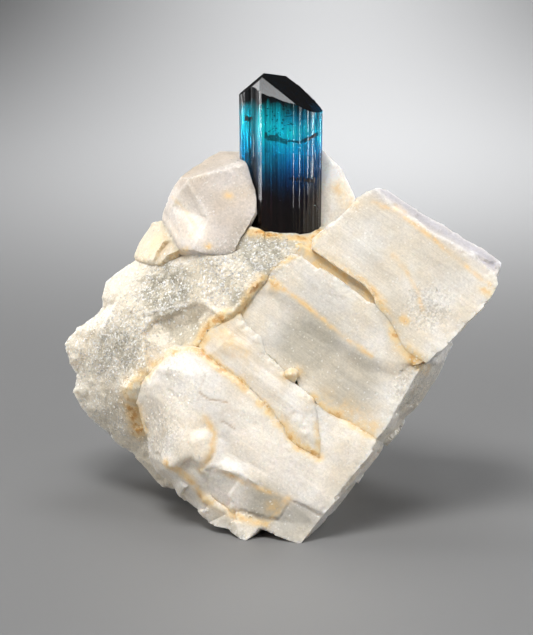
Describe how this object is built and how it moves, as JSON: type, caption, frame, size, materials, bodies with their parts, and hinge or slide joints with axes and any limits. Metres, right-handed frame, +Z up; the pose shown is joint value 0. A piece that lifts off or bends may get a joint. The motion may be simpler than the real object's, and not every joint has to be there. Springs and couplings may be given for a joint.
{
  "type": "blue-capped tourmaline crystal on feldspar matrix",
  "caption": "Upright dark-tipped blue tourmaline prism rising from a broken block of cream cleaved feldspar and grey granular quartz, standing on its flat underside.",
  "frame": {"origin": "under the middle of the specimen's bounding box, on the surface that it stands on", "axes": "+Z up, along the tourmaline's length; the broad cleavage face looks towards -Y; +X is to the right of that face"},
  "size_m": [0.0886, 0.0608, 0.089],
  "materials": {
    "tourmaline": "polished",
    "feldspar": "satin",
    "stained_feldspar": "satin",
    "quartz": "rough"
  },
  "bodies": {
    "root": {"tourmaline_crystal": "tourmaline", "left_feldspar_crystal": "feldspar", "small_feldspar_crystal": "feldspar", "rear_feldspar_crystal": "feldspar", "upper_feldspar_slab": "feldspar", "middle_feldspar_slab": "feldspar", "stained_feldspar_tongue": "stained_feldspar", "small_nub": "stained_feldspar", "lower_feldspar_block": "feldspar", "granular_quartz_mass": "quartz"}
  },
  "joints": []
}
